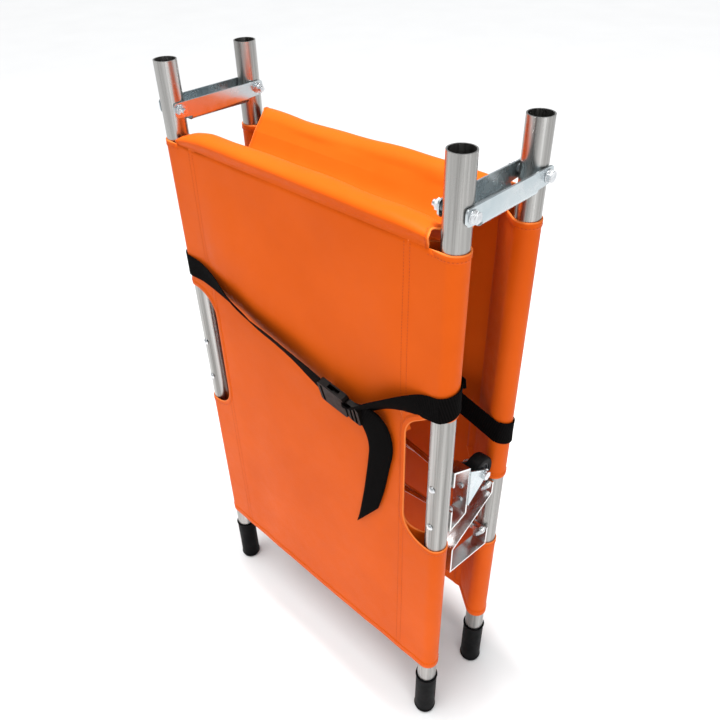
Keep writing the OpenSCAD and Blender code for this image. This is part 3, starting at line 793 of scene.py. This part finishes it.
# One face of the webbing's section and the other: (share of its half width, share of its half thickness)
WEB_FACE = [(-0.985, 0.7), (-0.95, 1), (-0.6, 1), (-0.2, 1), (0.2, 1), (0.6, 1), (0.95, 1), (0.985, 0.7)]
WEB_SECTION = [(-1, 0), *WEB_FACE, (1, 0), *[(-a, -b) for a, b in WEB_FACE]]


def ribbon(name, centres, outward, leans):
    """Webbing along the centres, facing outward. leans tips its upper edge outwards, in degrees."""
    t = unit(np.gradient(centres, axis=0))
    n = unit(outward - t * np.sum(outward * t, axis=1, keepdims=True))
    w = np.cross(n, t)
    w *= np.sign(w[:, 2:3]) + (w[:, 2:3] == 0)
    lean = np.radians(leans)[:, None]
    w, n = w * np.cos(lean) + n * np.sin(lean), n * np.cos(lean) - w * np.sin(lean)
    rows = [centres + w * (a * WEB_W / 2) + n * (b * WEB_T / 2) for a, b in WEB_SECTION]
    count, m = len(centres), len(WEB_SECTION)
    across = [a * WEB_W / 2 for a, _ in WEB_SECTION]
    uv = np.stack([np.repeat(distances(centres), m), np.tile(across, count)], -1)
    return mesh_object(name, np.stack(rows, 1).reshape(-1, 3), tube_faces(count, m),
                       FINISH["black_webbing"], "black_webbing", uv=uv, crease=60)


def belt_path(knots, sign):
    """A smooth path through knots of (x, outwards of the pole plane, z, lean, face angle; 0 is outwards)."""
    s = spline(knots, 4.0)
    centres = np.stack([s[:, 0], sign * (POLE_Y + s[:, 1]), s[:, 2]], -1)
    face = np.radians(s[:, 4])
    outward = np.stack([np.sin(face), sign * np.cos(face), np.zeros(len(s))], -1)
    return centres, outward, s[:, 3]


def wrap(side, z0, z1, start, end):
    """Knots round a pole's sleeve between two face angles in degrees: 0 is outwards, 90 to the side."""
    return [
        (side * (POLE_X + WEB_R * math.sin(a)), WEB_R * math.cos(a), z, 0, side * math.degrees(a))
        for a, z in zip(np.radians(np.linspace(start, end, 9)), np.linspace(z0, z1, 9))
    ]


def round_the_poles(right, inner, left):
    """Knots at these heights round the right pole, between the halves and round the left pole."""
    between = [(x, -WEB_R, z, 0, 180) for x, z in zip((150, 0, -150), inner)]
    last = [(*knot[:4], knot[4] + 360) for knot in wrap(-1, *left, 180, 0)]
    return wrap(1, *right, 0, 180) + between + last


def edge_ribbon(name, left, right, sign):
    """Webbing between two edge lines, each a list of (x, outwards, z) from its start to its end."""
    steps, columns = 60, np.linspace(0, 1, 9)

    def even(points):
        s = spline(points, 3.0)
        along = distances(s)
        return np.stack([np.interp(np.linspace(0, along[-1], steps), along, s[:, k]) for k in range(3)], -1)

    a, b = even(left), even(right)
    grid = a[:, None] * (1 - columns)[None, :, None] + b[:, None] * columns[None, :, None]
    grid[:, :, 1] += (1.4 * np.sin(np.pi * columns))[None]
    x, out, z = grid.reshape(-1, 3).T
    uv = np.stack([np.repeat(distances((a + b) / 2), 9), np.tile(columns * WEB_W, steps)], -1)
    ob = mesh_object(name, np.stack([x, sign * (POLE_Y + out), z], -1), grid_faces(steps, 9),
                     FINISH["black_webbing"], "black_webbing", uv=uv, crease=60)
    return thicken(ob, WEB_T)


def make_belt(half, sign, loop, strap, tail):
    """A belt: loop runs to the buckle's socket, strap from its tongue to the right pole, tail hangs free."""
    belt = ribbon(f"{half}_belt_webbing", *belt_path(loop, sign))
    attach(belt, f"{half}_half")
    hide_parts(f"{half}_belt")
    run = ribbon(f"{half}_belt_strap", *belt_path(strap, sign))
    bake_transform(run)
    loose = edge_ribbon(f"{half}_belt_end", *tail, sign)
    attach(loose, f"{half}_tongue")
    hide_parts(f"{half}_belt_tail")


make_belt(
    "front", -1,
    loop=round_the_poles((722, 741), (742, 741, 738), (737, 732)) + [
        (-222, 19.8, 733, 4, 360), (-196, 21.5, 730, 9, 360), (-168, 24.5, 724, 18, 360),
        (-128, 29.5, 713, 34, 360), (-91, 30.0, 700, 33, 360), (-46, 29.0, 690.5, 31, 360),
        (-6, 28.8, 681, 28, 360), (30, 29.0, 671, 21, 360), (58, 30.0, 664, 17, 360),
    ],
    strap=[
        (114, 31.5, 652, 24, 0), (124, 32.5, 656.5, 48, 0), (142, 32.0, 669.5, 56, 0),
        (165, 30.0, 687, 52, 0), (188, 27.0, 700, 41, 0), (215, 22.5, 712, 20, 0),
        (235, 19.6, 719, 3, 0), (250, WEB_R, 722, 0, 0), (256, 18.0, 723, 0, 17),
    ],
    tail=(
        [(116, 30, 650), (125, 29, 645), (135, 25, 627), (141, 21.5, 598), (138, 20.5, 562), (129, 20.5, 497),
         (119, 21, 439), (113, 21.5, 414)],
        [(128, 33, 672), (144, 31, 674), (163, 27, 668), (176, 23.5, 652), (183, 21.5, 630), (184, 20.8, 605),
         (178, 20.5, 572), (168, 20.8, 518), (158, 22, 478)],
    ),
)
make_belt(
    "back", 1,
    loop=round_the_poles((585, 600), (628, 671, 716), (745, 749)) + [
        (-222, 19.8, 742, 3, 360), (-174, 25.0, 722, 20, 360), (-110, 28.0, 697, 28, 360),
        (-60, 29.0, 675, 26, 360), (-28, 30.0, 660, 20, 360), (-9, 30.3, 652, 17, 360),
    ],
    strap=[
        (48, 31.5, 634, 22, 0), (60, 31.5, 634, 30, 0), (95, 28.5, 630, 30, 0), (140, 25.5, 619, 24, 0),
        (180, 23.0, 606, 15, 0), (215, 20.8, 594, 8, 0), (235, 19.6, 589, 3, 0), (250, WEB_R, 586, 0, 0),
        (256, 18.0, 585.5, 0, 17),
    ],
    tail=(
        [(50, 30, 632), (58, 29, 626), (68, 25, 610), (73, 21.5, 580), (71, 20.5, 545), (64, 20.5, 480),
         (57, 21, 420), (53, 21.5, 395)],
        [(62, 33, 655), (78, 31, 656), (96, 27, 650), (108, 23.5, 634), (114, 21.5, 612), (114, 20.8, 587),
         (109, 20.5, 555), (100, 20.8, 500), (92, 22, 458)],
    ),
)

# ---------------------------------------------------------------- finishes on the CAD pieces


def finish_cad():
    """Gives each CAD piece that still shows its material, clean flat faces and slightly rounded edges."""
    slot_of = {part["node"]: part["material_slot"] for part in frame["record"]["subparts"]}
    for name, ob in nodes.items():
        if ob.hide_render:
            continue
        ob.data.materials.clear()
        ob.data.materials.append(FINISH[slot_of[name]])
        if "custom_normal" in ob.data.attributes:
            ob.data.attributes.remove(ob.data.attributes["custom_normal"])
        ob.data.shade_smooth()
        weld = ob.modifiers.new("weld", "WELD")
        weld.merge_threshold = 0.00002
        flat = ob.modifiers.new("flat_faces", "DECIMATE")
        flat.decimate_type = "DISSOLVE"
        flat.angle_limit = math.radians(1.5)
        round_edges = ob.modifiers.new("round_edges", "BEVEL")
        round_edges.width = 0.0004
        round_edges.segments = 2
        round_edges.limit_method = "ANGLE"
        round_edges.angle_limit = math.radians(32)
        round_edges.harden_normals = True


finish_cad()

# ---------------------------------------------------------------- stage and light


def area_light(name, at, size, power):
    data = bpy.data.lights.new(name, "AREA")
    data.shape = "RECTANGLE"
    data.size, data.size_y = size
    data.energy = power
    light = bpy.data.objects.new(name, data)
    light.location = at
    light.visible_camera = False
    towards = Vector((0, 0, 0.6)) - Vector(at)
    light.rotation_euler = towards.to_track_quat("-Z", "Y").to_euler()
    scene.collection.objects.link(light)


def make_stage():
    reach = 12.0 / MM
    corners = [(-reach, -reach, 0), (reach, -reach, 0), (reach, reach, 0), (-reach, reach, 0)]
    mesh_object("floor", corners, [(0, 1, 2, 3)], floor_paint())
    world = bpy.data.worlds.new("studio")
    world.use_nodes = True
    sky = world.node_tree.nodes["Background"]
    sky.inputs["Color"].default_value = (0.96, 0.98, 1.0, 1)
    sky.inputs["Strength"].default_value = 0.48
    scene.world = world
    sun = bpy.data.lights.new("softbox_sky", "SUN")
    sun.energy, sun.angle = 2.5, math.radians(42)
    key = bpy.data.objects.new("softbox_sky", sun)
    key.rotation_euler = Vector((0.10, 0.24, -1.0)).to_track_quat("-Z", "Y").to_euler()
    scene.collection.objects.link(key)
    area_light("top", (0, -0.02, 3.0), (0.8, 0.16), 66)
    area_light("side", (2.4, -1.1, 1.5), (1.0, 1.8), 18)
    scene.view_settings.view_transform = "Standard"


make_stage()
